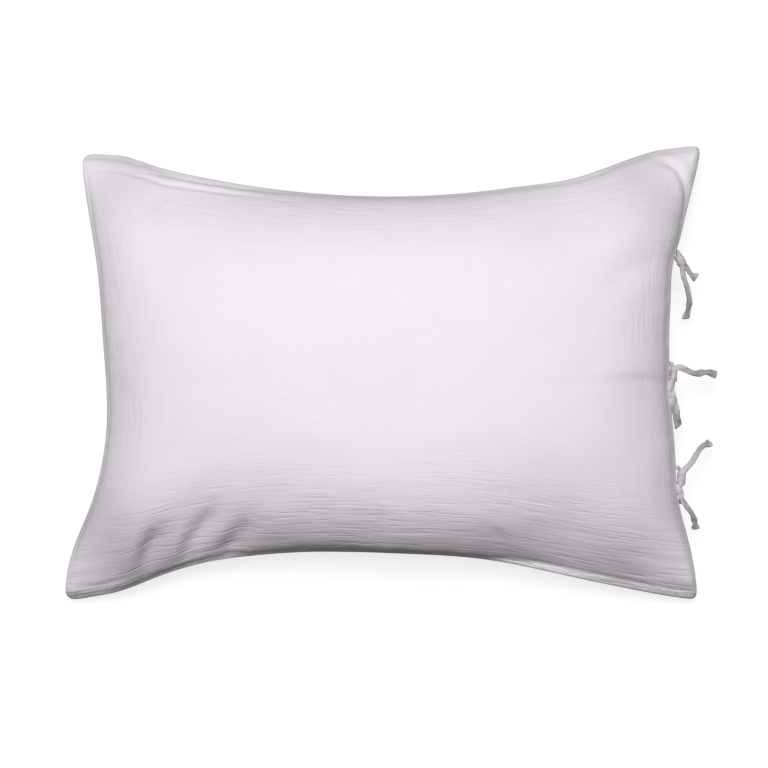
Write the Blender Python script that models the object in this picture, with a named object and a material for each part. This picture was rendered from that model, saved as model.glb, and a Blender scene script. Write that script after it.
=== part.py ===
"""A filled cotton pillowcase, lying on its back, its mouth closed by three pairs of ties.

+Z is up and out of the front, +X runs to the mouth and +Y to the top edge. The origin is on the
surface it lies on, below the middle of the case. All sizes are in metres.
"""

import math

import bmesh
import bpy
from mathutils import Vector

# ---- driving dimensions -------------------------------------------------------------------

# Sharp corners of the filled case, before they are rounded, the radius of each, the height to
# which the seam falls on the way to it, and how much further its very tip droops.
CORNERS = {
    "top_left": {"x": -0.3270, "y": 0.2420, "radius": 0.013, "height": 0.026, "droop": 0.012},
    "top_right": {"x": 0.3465, "y": 0.2490, "radius": 0.009, "height": 0.044, "droop": 0.014},
    "bottom_left": {"x": -0.3480, "y": -0.2485, "radius": 0.019, "height": 0.024, "droop": 0.014},
    "bottom_right": {"x": 0.3450, "y": -0.2460, "radius": 0.009, "height": 0.044, "droop": 0.034},
}
# How far the filling draws each side in, where along the side it is deepest, as a share of its
# length from the left or from the bottom, and how softly its curve runs into its corners.
SIDES = {
    "top": {"drawn_in": 0.0530, "deepest": 0.51, "softness": 1.35},
    "bottom": {"drawn_in": 0.0540, "deepest": 0.41, "softness": 1.40},
    "left": {"drawn_in": 0.0410, "deepest": 0.42, "softness": 1.60},
    "mouth": {"drawn_in": 0.0330, "deepest": 0.57, "softness": 1.45},
}
# Where a pull or a tuck moves a side further in, or out where the depth is less than 0: the share
# of its length, the depth and the reach as a share.
TUCKS = [
    {"side": "top", "at": 0.06, "depth": -0.0050, "reach": 0.05},
    {"side": "top", "at": 0.46, "depth": -0.0016, "reach": 0.20},
    {"side": "top", "at": 0.79, "depth": 0.0034, "reach": 0.06},
    {"side": "top", "at": 0.93, "depth": -0.0045, "reach": 0.07},
    {"side": "bottom", "at": 0.09, "depth": -0.0035, "reach": 0.05},
    {"side": "bottom", "at": 0.22, "depth": 0.0030, "reach": 0.08},
    {"side": "bottom", "at": 0.67, "depth": 0.0045, "reach": 0.12},
    {"side": "left", "at": 0.12, "depth": -0.0045, "reach": 0.08},
    {"side": "left", "at": 0.58, "depth": -0.0036, "reach": 0.13},
    {"side": "mouth", "at": 0.22, "depth": 0.0048, "reach": 0.08},
    {"side": "mouth", "at": 0.73, "depth": 0.0030, "reach": 0.05},
]
TIP_SPREAD = 0.018  # share by which the tips stand out further as they droop
CORNER_SHARPNESS = 2.2  # how fast a corner's rounding fades away from it

FRONT_CROWN = 0.120  # rise of the front above the seam
CROWN_POWER = 2.8  # 2 is an ellipse, and more is fuller towards the sides
CROWN_NARROWING = 0.8  # how much less that is for the long sides towards their corners
# How the filling rises from each seam, 0.5 for upright and 1 for a straight slope, at the middle
# of the side, and how much is added towards its corners.
END_STEEPNESS = 0.68
END_EASING = 0.15
SIDE_STEEPNESS = 0.55
BOTTOM_EASING = 1.60
TOP_EASING = 1.20
GENTLEST = 1.15  # the most that this comes to
SEAM_HEIGHT = 0.078  # height of the seam at the middle of a side
CONTACT_SHARE = 0.70  # the back lies flat where its fullness passes this share
HALF_LENGTH = 0.345  # half of the case along x, and
HALF_HEIGHT = 0.246  # along y, for turning a flat edge strip into a share of its side

SEWN_EDGE_THICKNESS = 0.003  # the turned seam on the three closed sides
SEWN_FLANGE = 0.002  # flat strip beside that seam
MOUTH_THICKNESS = 0.007  # front hem, gap and back hem together
MOUTH_FLANGE = 0.009  # flat width of the hems at the mouth
HEM_THICKNESS = 0.0023  # each hem, folded twice
MOUTH_DEPTH = 0.012  # how far the gap between the hems runs in
MOUTH_SHARE = 0.80  # share of the side that is open between its corners
HEM_FADE = 8  # power by which the edge thickens from the closed sides to the mouth
MOUTH_PLANE = 0.999  # grid points past this share of the length are on the mouth
EDGE_STEP = 0.002  # distance for reading the mouth's direction
EMPTY = 1e-6  # fullness below which there is no filling

EAR_REACH = 0.065  # the corners are flatter within about this distance
EAR_FLATNESS = 0.55  # how much of the fullness they lose

# Soft troughs that pull from the corners and the mouth into the front.
CREASES = [
    {"x0": -0.262, "y0": -0.202, "x1": -0.236, "y1": -0.162, "width": 0.011, "depth": 0.007},
    {"x0": -0.198, "y0": -0.176, "x1": -0.172, "y1": -0.144, "width": 0.012, "depth": 0.006},
    {"x0": -0.268, "y0": 0.196, "x1": -0.236, "y1": 0.176, "width": 0.016, "depth": 0.004},
    {"x0": 0.242, "y0": 0.100, "x1": 0.300, "y1": 0.140, "width": 0.022, "depth": 0.004},
]

CREASE_FADE = 0.25  # power by which the troughs fade on the flat edge strips

COLUMNS = 48  # cells along the case
ROWS = 34  # cells across it

TIE_DIAMETER = 0.0055  # a folded and stitched strip of the case's own cloth
KNOT_SQUEEZE = 0.57  # the strip in the knot, as a share of its free width
SWELL_POINTS = 3.0  # points over which it regains its width
TURN_RADIUS = 0.0022  # from the middle of the knot to the middle of each strip
TURN_PITCH = 0.0080  # length of one turn in the knot
TURN_STEPS = 6  # points in one turn
ROOT_SPREAD = 0.0021  # height of each root above or below the seam
ROOT_RUN = 0.0022  # how far each strip leaves its hem straight

# The strips of a pair turn about each other along an axis. "knot" is where that axis starts, with
# the front strip above it. A strip whose "forward" is False runs through the knot the other way.
# "root" is the height y at which a strip leaves its hem, "gap" is how far in front of the curve of
# the mouth it starts there, and "way" leads from there to the knot.
# Ways and tails are hand-placed points in metres: x, y and z.
TIES = {
    "top": {
        "knot": (0.3250, 0.1283, 0.0690), "axis": (0.42, -0.90, -0.10), "turns": 1.0,
        "front": {
            "root": 0.1345, "gap": 0.0002, "forward": True, "way": [],
            "tail": [(0.3292, 0.1120, 0.0690), (0.3318, 0.1030, 0.0650),
                     (0.3358, 0.0925, 0.0580), (0.3385, 0.0825, 0.0490),
                     (0.3388, 0.0730, 0.0390), (0.3365, 0.0625, 0.0290)]},
        "back": {
            "root": 0.1345, "gap": 0.0002, "forward": True, "way": [],
            "tail": [(0.3345, 0.1165, 0.0635), (0.3395, 0.1095, 0.0585),
                     (0.3450, 0.1065, 0.0530)]},
    },
    "middle": {
        "knot": (0.3177, -0.0060, 0.0800), "axis": (0.04, 0.99, 0.10), "turns": 1.5,
        "front": {
            "root": 0.0120, "gap": 0.0003, "forward": False, "way": [],
            "tail": [(0.3156, -0.0110, 0.0850), (0.3148, -0.0175, 0.0855),
                     (0.3165, -0.0245, 0.0845), (0.3193, -0.0345, 0.0805),
                     (0.3220, -0.0455, 0.0730), (0.3250, -0.0560, 0.0615)]},
        "back": {
            "root": -0.0345, "gap": 0.0003, "forward": True,
            "way": [(0.3170, -0.0265, 0.0742), (0.3167, -0.0185, 0.0750),
                    (0.3173, -0.0115, 0.0763)],
            "tail": [(0.3240, 0.0078, 0.0838), (0.3302, 0.0056, 0.0820),
                     (0.3370, 0.0025, 0.0775), (0.3440, 0.0010, 0.0710),
                     (0.3520, 0.0022, 0.0620), (0.3600, 0.0022, 0.0515),
                     (0.3680, 0.0003, 0.0395)]},
    },
    "bottom": {
        "knot": (0.3266, -0.1190, 0.0725), "axis": (0.12, 0.98, 0.05), "turns": 1.5,
        "front": {
            "root": -0.1015, "gap": 0.0002, "forward": False,
            "way": [(0.3242, -0.1022, 0.0718)],
            "tail": [(0.3254, -0.1265, 0.0755), (0.3272, -0.1345, 0.0742),
                     (0.3320, -0.1422, 0.0690), (0.3385, -0.1500, 0.0620),
                     (0.3424, -0.1560, 0.0550), (0.3446, -0.1620, 0.0470),
                     (0.3468, -0.1695, 0.0370)]},
        "back": {
            "root": -0.1395, "gap": 0.0006, "forward": True,
            "way": [(0.3284, -0.1320, 0.0668), (0.3270, -0.1250, 0.0688)],
            "tail": [(0.3330, -0.1018, 0.0752), (0.3385, -0.0965, 0.0715),
                     (0.3435, -0.0895, 0.0650), (0.3487, -0.0822, 0.0575),
                     (0.3550, -0.0778, 0.0480), (0.3620, -0.0755, 0.0370)]},
    },
}

CLOTH_COLOUR = (0.80, 0.77, 0.81, 1.0)  # a cool, faintly lilac white
CLOTH_ROUGHNESS = 0.95


# ---- shared helpers -----------------------------------------------------------------------

def clear_scene():
    """Remove every object of the open scene."""
    for old in list(bpy.data.objects):
        bpy.data.objects.remove(old, do_unlink=True)


def cloth_material(name):
    """A matt cotton material of its own for one piece."""
    material = bpy.data.materials.new(name)
    material.use_nodes = True
    shader = material.node_tree.nodes["Principled BSDF"]
    shader.inputs["Base Color"].default_value = CLOTH_COLOUR
    shader.inputs["Roughness"].default_value = CLOTH_ROUGHNESS
    shader.inputs["Metallic"].default_value = 0.0
    return material


def add_object(name, data):
    """Link a new object with its own material to the scene."""
    data.materials.append(cloth_material(name + "_cloth"))
    made = bpy.data.objects.new(name, data)
    bpy.context.scene.collection.objects.link(made)
    return made


def mix(low, high, share):
    """Straight blend from low to high."""
    return low + (high - low) * share


# ---- the filled case ----------------------------------------------------------------------

def draw_in(side, share):
    """How far a side has moved inward at a share of its length."""
    shape = SIDES[side]
    deepest = shape["deepest"]
    reach = deepest if share < deepest else 1.0 - deepest
    from_deepest = min(1.0, abs(share - deepest) / reach)
    depth = shape["drawn_in"] * (1.0 - from_deepest ** 2) ** shape["softness"]
    fade = min(1.0, 16.0 * share * (1.0 - share))
    for tuck in TUCKS:
        if tuck["side"] == side:
            depth += fade * tuck["depth"] * math.exp(-((share - tuck["at"]) / tuck["reach"]) ** 2)
    return depth


def outline_point(across, along):
    """The plan position of a share across the case (x) and a share along its height (y)."""
    corner = CORNERS
    low_x = mix(corner["bottom_left"]["x"], corner["bottom_right"]["x"], across)
    high_x = mix(corner["top_left"]["x"], corner["top_right"]["x"], across)
    left_y = mix(corner["bottom_left"]["y"], corner["top_left"]["y"], along)
    right_y = mix(corner["bottom_right"]["y"], corner["top_right"]["y"], along)
    x = mix(low_x, high_x, along)
    x += mix(draw_in("left", along), -draw_in("mouth", along), across)
    y = mix(left_y, right_y, across)
    y += mix(draw_in("bottom", across), -draw_in("top", across), along)
    return x, y


def round_corner(x, y):
    """Pull a point near a corner onto that corner's rounding."""
    name = ("top_" if y > 0 else "bottom_") + ("right" if x > 0 else "left")
    corner = CORNERS[name]
    radius = corner["radius"]
    nearness = math.exp(-CORNER_SHARPNESS * (abs(corner["x"] - x) + abs(corner["y"] - y)) / radius)
    pull = (1.0 - math.sqrt(0.5)) * radius * nearness
    return x - math.copysign(pull, corner["x"]), y - math.copysign(pull, corner["y"])


def ear_factor(x, y):
    """Less than one near the corners, which the filling doesn't reach."""
    nearest = min(math.hypot(c["x"] - x, c["y"] - y) for c in CORNERS.values())
    return 1.0 - EAR_FLATNESS * math.exp(-(nearest / EAR_REACH) ** 2)


def crease_depth(x, y):
    """Summed depth of the soft troughs at a plan position."""
    total = 0.0
    for crease in CREASES:
        start = Vector((crease["x0"], crease["y0"]))
        run = Vector((crease["x1"], crease["y1"])) - start
        share = max(0.0, min(1.0, (Vector((x, y)) - start).dot(run) / run.length_squared))
        away = (Vector((x, y)) - start - run * share).length
        total += crease["depth"] * math.exp(-(away / crease["width"]) ** 2)
    return total


def fullness(a, b):
    """Fullness of the filling, 0 on the flat edge strips to 1 in the middle."""
    flange_x = MOUTH_FLANGE if a > 0 else SEWN_FLANGE
    reach_a = min(1.0, abs(a) / (1.0 - flange_x / HALF_LENGTH))
    reach_b = min(1.0, abs(b) / (1.0 - SEWN_FLANGE / HALF_HEIGHT))
    easing = BOTTOM_EASING if b < 0 else TOP_EASING
    along = (1.0 - reach_a ** CROWN_POWER) ** (END_STEEPNESS + END_EASING * b * b)
    across = 1.0 - reach_b ** (CROWN_POWER - CROWN_NARROWING * a * a)
    across = across ** min(GENTLEST, SIDE_STEEPNESS + easing * a * a)
    return along * across / max(EMPTY, along + across - along * across)


def seam_height(a, b):
    """Height of the seam, which is lower towards the corners and lowest at their tips."""
    corner = CORNERS[("top_" if b > 0 else "bottom_") + ("right" if a > 0 else "left")]
    return mix(SEAM_HEIGHT, corner["height"], a * a * b * b) - corner["droop"] * a * a * b ** 8


def case_point(a, b, face):
    """A point of the front (face 1) or the back (face -1), with a and b from -1 to 1."""
    x, y = round_corner(*outline_point((a + 1.0) / 2.0, (b + 1.0) / 2.0))
    spread = 1.0 + TIP_SPREAD * a ** 4 * b ** 4
    x, y = x * spread, y * spread
    seam = seam_height(a, b)
    half_edge = mix(SEWN_EDGE_THICKNESS, MOUTH_THICKNESS, max(0.0, a) ** HEM_FADE) / 2.0
    full = fullness(a, b) * ear_factor(x, y)
    if face > 0:
        trough = crease_depth(x, y) * full ** CREASE_FADE
        return Vector((x, y, seam + half_edge + FRONT_CROWN * full - trough))
    flat = 1.0 - (1.0 - min(1.0, full / CONTACT_SHARE)) ** 2
    return Vector((x, y, (seam - half_edge) * (1.0 - flat)))


def build_case():
    """One closed solid: a grid, thickened, moved to its filled shape, with its mouth pressed in."""
    bm = bmesh.new()
    bmesh.ops.create_grid(bm, x_segments=COLUMNS, y_segments=ROWS, size=1.0)
    raised = bmesh.ops.extrude_face_region(bm, geom=bm.faces[:])
    front = {item for item in raised["geom"] if isinstance(item, bmesh.types.BMVert)}
    mouth = [face for face in bm.faces
             if all(vert.co.x > MOUTH_PLANE for vert in face.verts)
             and abs(face.calc_center_median().y) < MOUTH_SHARE]
    for vert in bm.verts:
        a = math.sin(math.pi / 2.0 * vert.co.x)
        b = math.sin(math.pi / 2.0 * vert.co.y)
        vert.co = case_point(a, b, 1 if vert in front else -1)
    bmesh.ops.recalc_face_normals(bm, faces=bm.faces[:])
    bmesh.ops.inset_region(bm, faces=mouth, thickness=HEM_THICKNESS, use_even_offset=True)
    pressed = bmesh.ops.extrude_face_region(bm, geom=mouth)
    inner = [item for item in pressed["geom"] if isinstance(item, bmesh.types.BMVert)]
    bmesh.ops.delete(bm, geom=[face for face in mouth if face.is_valid], context="FACES_ONLY")
    bmesh.ops.translate(bm, verts=inner, vec=(-MOUTH_DEPTH, 0.0, 0.0))
    bmesh.ops.triangulate(bm, faces=bm.faces[:])
    mesh = bpy.data.meshes.new("case")
    bm.to_mesh(mesh)
    bm.free()
    mesh.shade_smooth()
    mesh.set_sharp_from_angle(angle=math.radians(50.0))
    add_object("case", mesh)


# ---- the ties -----------------------------------------------------------------------------

def mouth_edge(y):
    """Where the mouth's edge is at height y, and its outward direction in plan."""
    low = CORNERS["bottom_right"]["y"]
    span = CORNERS["top_right"]["y"] - low

    def edge(at):
        b = 2.0 * (at - low) / span - 1.0
        top = case_point(1.0, b, 1)
        return Vector((top.x, top.y, seam_height(1.0, b)))

    here = edge(y)
    run = edge(y + EDGE_STEP) - edge(y - EDGE_STEP)
    outward = Vector((run.y, -run.x, 0.0)).normalized()
    return here, outward


def smooth_route(points, steps):
    """A smooth curve through the route's points, with steps samples in each span."""
    padded = [points[0] * 2 - points[1], *points, points[-1] * 2 - points[-2]]
    route = []
    for p0, p1, p2, p3 in zip(padded, padded[1:], padded[2:], padded[3:]):
        for step in range(steps):
            t = step / steps
            route.append(0.5 * (2 * p1 + (p2 - p0) * t + (2 * p0 - 5 * p1 + 4 * p2 - p3) * t ** 2
                                + (3 * p1 - p0 - 3 * p2 + p3) * t ** 3))
    return [*route, points[-1]]


def knot_turns(pair, sign):
    """The points of one strip along the knot's axis, sign 1 for the front strip."""
    axis = Vector(pair["axis"]).normalized()
    side = Vector((0.0, 0.0, 1.0))
    side = (side - axis * side.dot(axis)).normalized()
    third = axis.cross(side)
    turns = []
    for index in range(round(pair["turns"] * TURN_STEPS) + 1):
        angle = 2.0 * math.pi * index / TURN_STEPS
        offset = (side * math.cos(angle) + third * math.sin(angle)) * (TURN_RADIUS * sign)
        turns.append(Vector(pair["knot"]) + axis * (TURN_PITCH * index / TURN_STEPS) + offset)
    return turns


def build_tie(pair_name, strip_name):
    """One tie, from its hem through the knot to its free end."""
    pair = TIES[pair_name]
    strip = pair[strip_name]
    sign = 1.0 if strip_name == "front" else -1.0
    edge, outward = mouth_edge(strip["root"])
    edge += Vector((0.0, 0.0, ROOT_SPREAD * sign))
    way_in = [edge + outward * strip["gap"], edge + outward * ROOT_RUN]
    way_in += [Vector(point) for point in strip["way"]]
    turns = knot_turns(pair, sign)
    if not strip["forward"]:
        turns.reverse()
    tail = [Vector(point) for point in strip["tail"]]
    route = [*way_in, *turns[:-1], *smooth_route([turns[-2], turns[-1], *tail], 2)[2:]]
    squeezed = len(way_in) + len(turns) - 1

    curve = bpy.data.curves.new("tie_%s_%s" % (pair_name, strip_name), "CURVE")
    curve.dimensions = "3D"
    curve.bevel_depth = TIE_DIAMETER / 2.0
    curve.bevel_resolution = 2
    curve.use_fill_caps = True
    spline = curve.splines.new("POLY")
    spline.points.add(len(route) - 1)
    for index, (point, place) in enumerate(zip(spline.points, route)):
        point.co = (*place, 1.0)
        swell = max(0.0, min(1.0, (index - squeezed) / SWELL_POINTS))
        point.radius = mix(KNOT_SQUEEZE, 1.0, swell)
    add_object(curve.name, curve)


clear_scene()
build_case()
for pair_key in TIES:
    for strip_key in ("front", "back"):
        build_tie(pair_key, strip_key)
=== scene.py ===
import math

import bmesh
import bpy
import numpy as np
from mathutils import Matrix, Quaternion, Vector


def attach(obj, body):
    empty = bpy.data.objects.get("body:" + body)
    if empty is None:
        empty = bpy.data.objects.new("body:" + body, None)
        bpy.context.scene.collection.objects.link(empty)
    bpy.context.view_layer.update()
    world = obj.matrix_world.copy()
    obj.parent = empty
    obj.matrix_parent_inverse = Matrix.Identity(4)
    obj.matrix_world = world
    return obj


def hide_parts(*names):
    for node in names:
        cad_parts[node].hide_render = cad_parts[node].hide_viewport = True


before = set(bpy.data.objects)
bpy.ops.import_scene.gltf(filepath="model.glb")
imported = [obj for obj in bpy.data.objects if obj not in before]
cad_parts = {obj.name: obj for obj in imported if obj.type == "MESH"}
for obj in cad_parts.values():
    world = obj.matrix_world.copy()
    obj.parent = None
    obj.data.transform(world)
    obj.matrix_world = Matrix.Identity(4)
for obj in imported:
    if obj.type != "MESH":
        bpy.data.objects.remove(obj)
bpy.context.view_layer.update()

# ---- Where the photograph was taken from ----------------------------------------------------
# The case is seen square to its face, so the camera hangs straight above it with a long lens.
# The picture's middle lies a little to the right of the case's middle and below it.

PICTURE_WIDTH = 0.837  # width of the view at the height of the seam
PICTURE_MIDDLE = (0.0027, -0.0104)
SEAM_HEIGHT = 0.078  # height of the seam at the middle of a side
CAMERA_HEIGHT = 3.2
SENSOR_WIDTH = 36.0  # millimetres, as the lens is

camera_data = bpy.data.cameras.new("camera")
camera_data.sensor_width = SENSOR_WIDTH
camera_data.lens = SENSOR_WIDTH * (CAMERA_HEIGHT - SEAM_HEIGHT) / PICTURE_WIDTH
camera = bpy.data.objects.new("camera", camera_data)
camera.location = (*PICTURE_MIDDLE, CAMERA_HEIGHT)
bpy.context.scene.collection.objects.link(camera)
bpy.context.scene.camera = camera

# ---- Cotton double gauze --------------------------------------------------------------------
# Two thin, open, plain-woven layers, tacked together, that crinkle in both thread directions
# when washed. The case and its ties are cut from it. The pattern follows the threads.


def new_group(name, inputs, outputs):
    """An empty shader group with named value or vector sockets, and its two end nodes."""
    group = bpy.data.node_groups.new(name, "ShaderNodeTree")
    for socket_name, kind, default in inputs:
        socket = group.interface.new_socket(socket_name, in_out="INPUT", socket_type=kind)
        if default is not None:
            socket.default_value = default
    for socket_name in outputs:
        group.interface.new_socket(socket_name, in_out="OUTPUT", socket_type="NodeSocketFloat")
    return group, group.nodes.new("NodeGroupInput"), group.nodes.new("NodeGroupOutput")


def add_math(tree, operation, first, second=None):
    """A Math node on two sockets or numbers, and its result."""
    node = tree.nodes.new("ShaderNodeMath")
    node.operation = operation
    for slot, value in zip(node.inputs, (first, second)):
        if isinstance(value, (int, float)):
            slot.default_value = value
        elif value is not None:
            tree.links.new(value, slot)
    return node.outputs["Value"]


PATTERN_OFFSET = (110.37, 230.61, 0.0)  # keeps the noise's own grid lines off the middle


def stretched_noise(tree, vector, per_metre, detail):
    """Noise in the cloth's own plane with that many cells a metre each way."""
    mapping = tree.nodes.new("ShaderNodeMapping")
    mapping.inputs["Scale"].default_value = (*per_metre, 1.0)
    mapping.inputs["Location"].default_value = PATTERN_OFFSET
    tree.links.new(vector, mapping.inputs["Vector"])
    noise = tree.nodes.new("ShaderNodeTexNoise")
    noise.noise_dimensions = "2D"
    noise.inputs["Scale"].default_value = 1.0
    noise.inputs["Detail"].default_value = detail
    noise.inputs["Roughness"].default_value = 0.55
    tree.links.new(mapping.outputs["Vector"], noise.inputs["Vector"])
    return noise.outputs["Fac"]


gauze, gauze_in, gauze_out = new_group(
    "gauze",
    [("Threads", "NodeSocketVector", None), ("Weft Slack", "NodeSocketFloat", 1.0),
     ("Warp Slack", "NodeSocketFloat", 1.0), ("Weave", "NodeSocketFloat", 0.1)],
    ["Height", "Hollow Shade"])
threads = gauze_in.outputs["Threads"]
height, hollow_shade = 0.0, 0.0
for slack, line_cells, patch_cells in (("Weft Slack", (24.0, 290.0), (12.0, 26.0)),
                                       ("Warp Slack", (290.0, 20.0), (26.0, 11.0))):
    lines = stretched_noise(gauze, threads, line_cells, 2.0)
    ridges = add_math(gauze, "ABSOLUTE", add_math(gauze, "SUBTRACT", lines, 0.5))
    lines = add_math(gauze, "SUBTRACT", lines, add_math(gauze, "MULTIPLY", ridges, 0.9))
    patches = stretched_noise(gauze, threads, patch_cells, 1.0)
    patches = add_math(gauze, "SMOOTH_MIN", add_math(gauze, "MULTIPLY", patches, 1.5), 1.0)
    lines = add_math(gauze, "MULTIPLY", lines, patches)
    # Painted shade: the colour follows the crinkle's relief and is darker along its low lines.
    hollow_shade = add_math(gauze, "ADD", hollow_shade, add_math(gauze, "MULTIPLY", lines, 0.8))
    height = add_math(gauze, "ADD", height,
                      add_math(gauze, "MULTIPLY", lines, gauze_in.outputs[slack]))
weft_threads = gauze.nodes.new("ShaderNodeTexWave")
warp_threads = gauze.nodes.new("ShaderNodeTexWave")
for wave, direction in ((weft_threads, "Y"), (warp_threads, "X")):
    wave.bands_direction = direction
    wave.inputs["Scale"].default_value = 560.0
    wave.inputs["Distortion"].default_value = 1.5
    wave.inputs["Detail"].default_value = 1.0
    gauze.links.new(threads, wave.inputs["Vector"])
weave = add_math(gauze, "MULTIPLY", weft_threads.outputs["Fac"], warp_threads.outputs["Fac"])
height = add_math(gauze, "ADD", height,
                  add_math(gauze, "MULTIPLY", weave, gauze_in.outputs["Weave"]))
gauze.links.new(height, gauze_out.inputs["Height"])
# Painted shade as well: darker between the threads, where the weave's relief is lower.
hollow_shade = add_math(gauze, "ADD", hollow_shade, add_math(gauze, "MULTIPLY", weave, 0.25))
gauze.links.new(hollow_shade, gauze_out.inputs["Hollow Shade"])


def gauze_material(name, light, dark, slack, weave_share, relief, painted_corner_shade=None):
    """Gauze between two colours, darker where its relief is lower as painted shade, its relief in
    metres, on the piece's own Threads map.

    Slack is how far each thread direction crinkles, or the names of two point attributes.
    The last argument is the colour of painted shade, used where the point attribute of the same
    name is 1."""
    material = bpy.data.materials.new(name)
    material.use_nodes = True
    tree = material.node_tree
    shader = tree.nodes["Principled BSDF"]
    shader.inputs["Roughness"].default_value = 0.92
    shader.inputs["Specular IOR Level"].default_value = 0.15
    shader.inputs["Sheen Weight"].default_value = 0.06
    shader.inputs["Sheen Roughness"].default_value = 0.6
    uv = tree.nodes.new("ShaderNodeUVMap")
    uv.uv_map = "Threads"
    pattern = tree.nodes.new("ShaderNodeGroup")
    pattern.node_tree = gauze
    for socket, value in zip(("Weft Slack", "Warp Slack"), slack):
        if isinstance(value, str):
            read = tree.nodes.new("ShaderNodeAttribute")
            read.attribute_name = value
            tree.links.new(read.outputs["Fac"], pattern.inputs[socket])
        else:
            pattern.inputs[socket].default_value = value
    pattern.inputs["Weave"].default_value = weave_share
    tree.links.new(uv.outputs["UV"], pattern.inputs["Threads"])
    colour = tree.nodes.new("ShaderNodeMix")
    colour.data_type = "RGBA"
    colour.inputs["A"].default_value = dark
    colour.inputs["B"].default_value = light
    tree.links.new(pattern.outputs["Hollow Shade"], colour.inputs["Factor"])
    # Painted shade: towards the corners the colour is mixed down to the darker shade colour.
    if painted_corner_shade:
        gauze_colour = colour.outputs["Result"]
        share = tree.nodes.new("ShaderNodeAttribute")
        share.attribute_name = "painted_corner_shade"
        colour = tree.nodes.new("ShaderNodeMix")
        colour.data_type = "RGBA"
        colour.inputs["B"].default_value = painted_corner_shade
        tree.links.new(gauze_colour, colour.inputs["A"])
        tree.links.new(share.outputs["Fac"], colour.inputs["Factor"])
    tree.links.new(colour.outputs["Result"], shader.inputs["Base Color"])
    bump = tree.nodes.new("ShaderNodeBump")
    bump.inputs["Strength"].default_value = 1.0
    bump.inputs["Distance"].default_value = relief
    tree.links.new(pattern.outputs["Height"], bump.inputs["Height"])
    tree.links.new(bump.outputs["Normal"], shader.inputs["Normal"])
    return material


# ---- The filled case ------------------------------------------------------------------------
# Front and back of gauze, 70 by 50 cm flat, sewn together on three sides and turned, so that the
# seam lies inside. The right side is the mouth, where each layer ends in its own hem. The filling
# rounds both, draws the sides in and leaves the four corners flat.

CASE_CORNERS = {
    "top_left": (-0.3270, 0.2420, 0.013, 0.026, 0.012),
    "top_right": (0.3465, 0.2490, 0.009, 0.044, 0.014),
    "bottom_left": (-0.3480, -0.2485, 0.019, 0.024, 0.014),
    "bottom_right": (0.3450, -0.2460, 0.009, 0.044, 0.034),
}  # x, y, radius, the height to which the seam falls towards it, and how its very tip droops
CASE_SIDES = {
    "top": (0.0530, 0.51, 1.35),
    "bottom": (0.0540, 0.41, 1.40),
    "left": (0.0410, 0.42, 1.60),
    "mouth": (0.0330, 0.57, 1.45),
}  # how far drawn in, where deepest as a share from the left or the bottom, and softness
CASE_TUCKS = [
    ("top", 0.06, -0.0050, 0.05), ("top", 0.46, -0.0016, 0.20), ("top", 0.79, 0.0034, 0.06),
    ("top", 0.93, -0.0045, 0.07), ("bottom", 0.09, -0.0035, 0.05), ("bottom", 0.22, 0.0030, 0.08),
    ("bottom", 0.67, 0.0045, 0.12), ("left", 0.12, -0.0045, 0.08),
    ("left", 0.58, -0.0036, 0.13), ("mouth", 0.22, 0.0048, 0.08), ("mouth", 0.73, 0.0030, 0.05),
]  # side, share, how far a pull or a tuck moves the edge further in, and its reach as a share
TIP_SPREAD = 0.018  # share by which the tips stand out further as they droop
TUCK_FADE = 16.0  # how quickly the pulls and tucks fade in from the corners
CORNER_SHARPNESS = 2.2  # how quickly a corner's rounding fades along its sides
CLOTH_HALF = (0.35, 0.25)  # half of the flat cloth, along and across the case
CASE_HALF = (0.345, 0.246)  # the same of the filled case
FRONT_CROWN = 0.120  # rise of the front above the seam
CROWN_POWER = 2.8  # 2 is an ellipse, and more is fuller towards the sides
CROWN_NARROWING = 0.8  # how much less that is for the long sides towards their corners
END_STEEPNESS = 0.68  # 0.5 stands upright at the seam, and 1 is a straight slope
END_EASING = 0.15  # what is added to it towards the corners
SIDE_STEEPNESS = 0.55
BOTTOM_EASING = 1.60
TOP_EASING = 1.20
GENTLEST = 1.15  # the most that a long side's slope comes to
CONTACT_SHARE = 0.70  # the back lies flat where its fullness passes this share
SEAM_THICKNESS = 0.003
SEAM_FLANGE = 0.002
GATHER_WIDTH = 0.0090  # the right half of the bottom seam stands out, gathered
SEAM_SLOPE = 0.75  # fall of the front towards the long seams, and
GATHER_SLOPE = 0.15  # towards the gathered half
GATHER_START = 0.28  # shares along the case where that begins and is full
GATHER_FULL = 0.50
MOUTH_THICKNESS = 0.007  # front hem, gap and back hem together
MOUTH_FLANGE = 0.005
MOUTH_SLOPE = 1.20  # fall of the front hem towards its edge
HEM_THICKNESS = 0.0023  # each hem, folded twice
HEM_FADE = 8  # power by which the edge thickens towards the mouth
MOUTH_PLANE = 0.999  # grid points past this share of the length are on the mouth
MOUTH_DEPTH = 0.012  # how far the gap between the hems runs in
MOUTH_SHARE = 0.96  # share of the side that is open between its corners
EAR_REACH = 0.065  # distance from a corner within which the filling thins out
EAR_FLATNESS = 0.55  # and the share of it that is missing at the corner
TIP_FADE = 8  # power by which the droop of a tip fades along its end
CASE_COLUMNS = 130
CASE_ROWS = 92
CASE_GRID_SPREAD = 0.5  # 0 spaces the grid evenly, and 1 crowds it towards the seams


def blend(low, high, share):
    """Straight blend from low to high."""
    return low + (high - low) * share


def drawn_in(side, share):
    """How far a side has moved inward at a share of its length."""
    depth, deepest, softness = CASE_SIDES[side]
    reach = np.where(share < deepest, deepest, 1.0 - deepest)
    from_deepest = np.minimum(1.0, np.abs(share - deepest) / reach)
    moved = depth * (1.0 - from_deepest ** 2) ** softness
    fade = np.minimum(1.0, TUCK_FADE * share * (1.0 - share))
    for tuck_side, at, tuck_depth, tuck_reach in CASE_TUCKS:
        if tuck_side == side:
            moved = moved + fade * tuck_depth * np.exp(-((share - at) / tuck_reach) ** 2)
    return moved


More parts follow.
